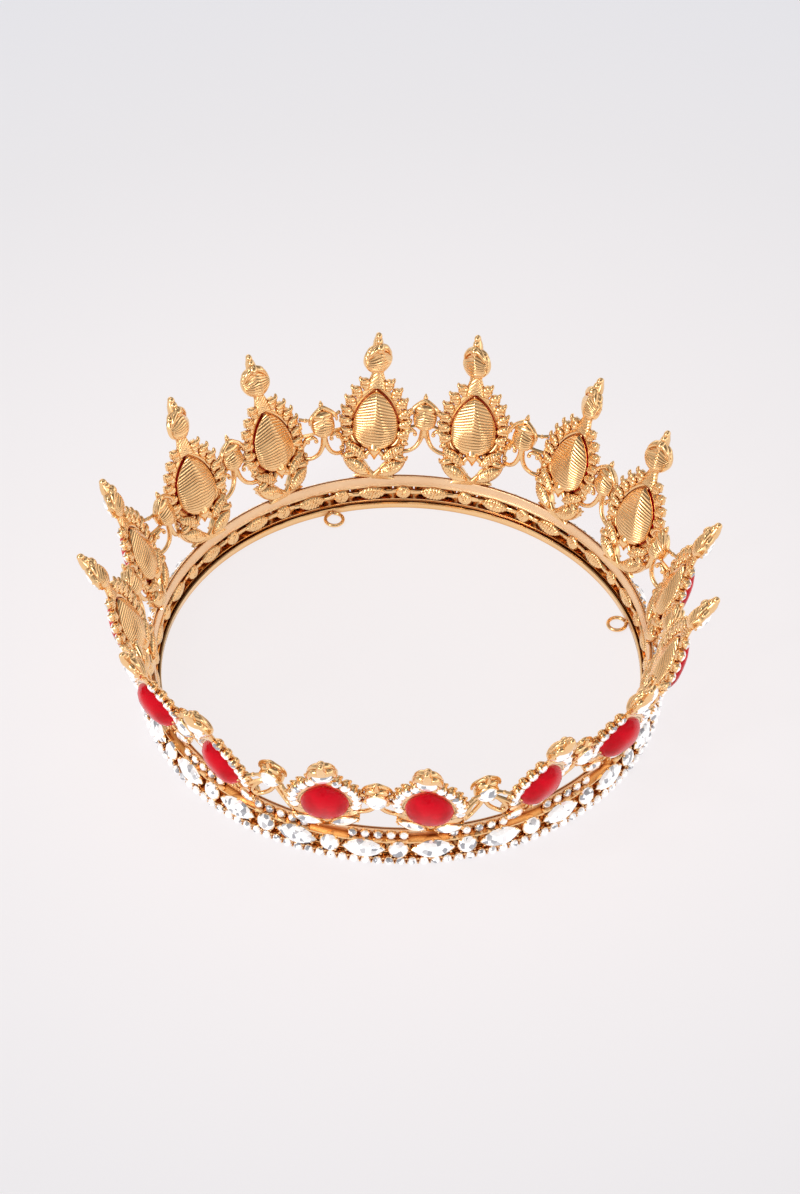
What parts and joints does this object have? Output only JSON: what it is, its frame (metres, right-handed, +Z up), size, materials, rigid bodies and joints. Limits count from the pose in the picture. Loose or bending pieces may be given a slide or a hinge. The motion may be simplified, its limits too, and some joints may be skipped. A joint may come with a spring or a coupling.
{
  "type": "crown",
  "caption": "Full-round crown of leaning pierced spires with red drop stones, joined by small links above a gem-set band, with wire loops for hairpins.",
  "frame": {"origin": "centre of the band, on the flat surface that it rests on", "axes": "+Z up through the spires; +Y through the middle of a flat panel of two spires"},
  "size_m": [0.1806, 0.1806, 0.055],
  "materials": {
    "gold_plate": "polished gold plate over cast brass",
    "red_crystal": "foil-backed red crystal, domed and faceted",
    "clear_crystal": "foil-backed clear crystal, faceted"
  },
  "bodies": {
    "root": {"base_ring": "gold_plate", "gallery_band": "gold_plate", "upper_rail": "gold_plate", "pin_loops": "gold_plate", "spire_01": "gold_plate", "spire_02": "gold_plate", "spire_03": "gold_plate", "spire_04": "gold_plate", "spire_05": "gold_plate", "spire_06": "gold_plate", "spire_07": "gold_plate", "spire_08": "gold_plate", "spire_09": "gold_plate", "spire_10": "gold_plate", "spire_11": "gold_plate", "spire_12": "gold_plate", "spire_13": "gold_plate", "spire_14": "gold_plate", "spire_15": "gold_plate", "spire_16": "gold_plate", "link_01": "gold_plate", "link_02": "gold_plate", "link_03": "gold_plate", "link_04": "gold_plate", "link_05": "gold_plate", "link_06": "gold_plate", "link_07": "gold_plate", "link_08": "gold_plate", "link_09": "gold_plate", "link_10": "gold_plate", "link_11": "gold_plate", "link_12": "gold_plate", "link_13": "gold_plate", "link_14": "gold_plate", "link_15": "gold_plate", "link_16": "gold_plate", "red_drop_01": "red_crystal", "red_drop_02": "red_crystal", "red_drop_03": "red_crystal", "red_drop_04": "red_crystal", "red_drop_05": "red_crystal", "red_drop_06": "red_crystal", "red_drop_07": "red_crystal", "red_drop_08": "red_crystal", "red_drop_09": "red_crystal", "red_drop_10": "red_crystal", "red_drop_11": "red_crystal", "red_drop_12": "red_crystal", "red_drop_13": "red_crystal", "red_drop_14": "red_crystal", "red_drop_15": "red_crystal", "red_drop_16": "red_crystal", "foot_row_stones": "clear_crystal", "rail_row_stones": "clear_crystal", "gallery_marquise_stones": "clear_crystal", "gallery_round_stones": "clear_crystal", "leaf_stones": "clear_crystal", "halo_stones": "clear_crystal", "link_stones": "clear_crystal", "finial_stones": "clear_crystal"}
  },
  "joints": []
}
